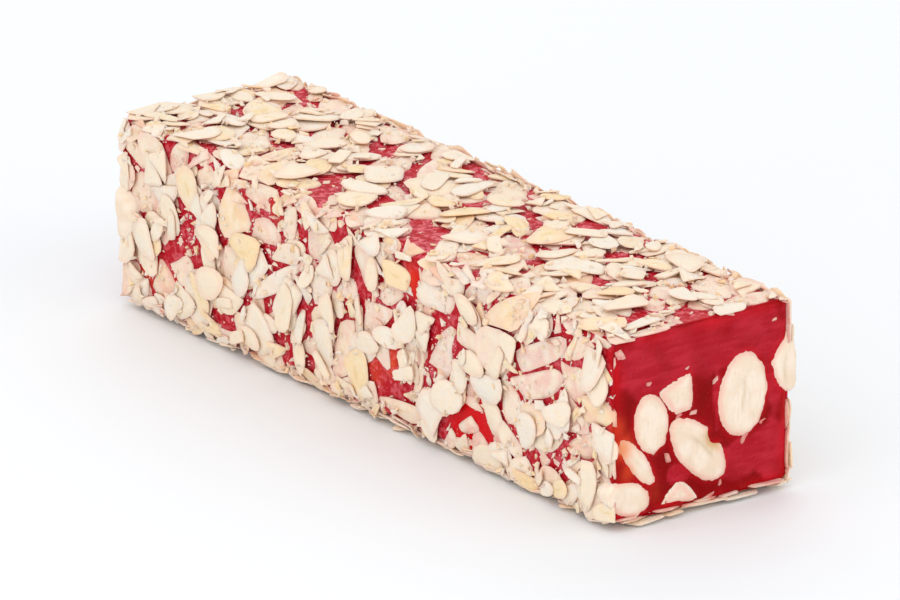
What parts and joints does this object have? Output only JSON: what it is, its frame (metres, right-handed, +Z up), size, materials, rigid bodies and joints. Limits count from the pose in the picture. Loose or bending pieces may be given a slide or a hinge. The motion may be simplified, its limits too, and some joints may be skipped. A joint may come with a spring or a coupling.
{
  "type": "turkish delight bar",
  "caption": "Bar of red fruit jelly sweet set with hazelnuts and rolled in sliced hazelnuts, cut square at both ends.",
  "frame": {"origin": "centre of the footprint, on the surface that the bar lies on", "axes": "+X along the bar to the cut end that faces the viewer, -Y the long side that faces the viewer, +Z up"},
  "size_m": [0.121, 0.034, 0.0304],
  "materials": {
    "jelly": "glossy translucent red jelly",
    "sliced_hazelnut": "matte cream nut slices",
    "cut_hazelnut": "matte cream cut nut"
  },
  "bodies": {
    "root": {"jelly_block": "jelly", "slice_coat": "sliced_hazelnut", "front_nut_big": "cut_hazelnut", "front_nut_oval": "cut_hazelnut", "front_nut_chip": "cut_hazelnut", "front_nut_bean": "cut_hazelnut", "front_nut_crescent": "cut_hazelnut", "front_nut_corner": "cut_hazelnut", "front_nut_wedge": "cut_hazelnut", "front_nut_rim": "cut_hazelnut", "back_nut_round": "cut_hazelnut", "back_nut_half": "cut_hazelnut", "back_nut_bean": "cut_hazelnut", "back_nut_oval": "cut_hazelnut", "back_nut_chip": "cut_hazelnut", "back_nut_rim": "cut_hazelnut"}
  },
  "joints": []
}
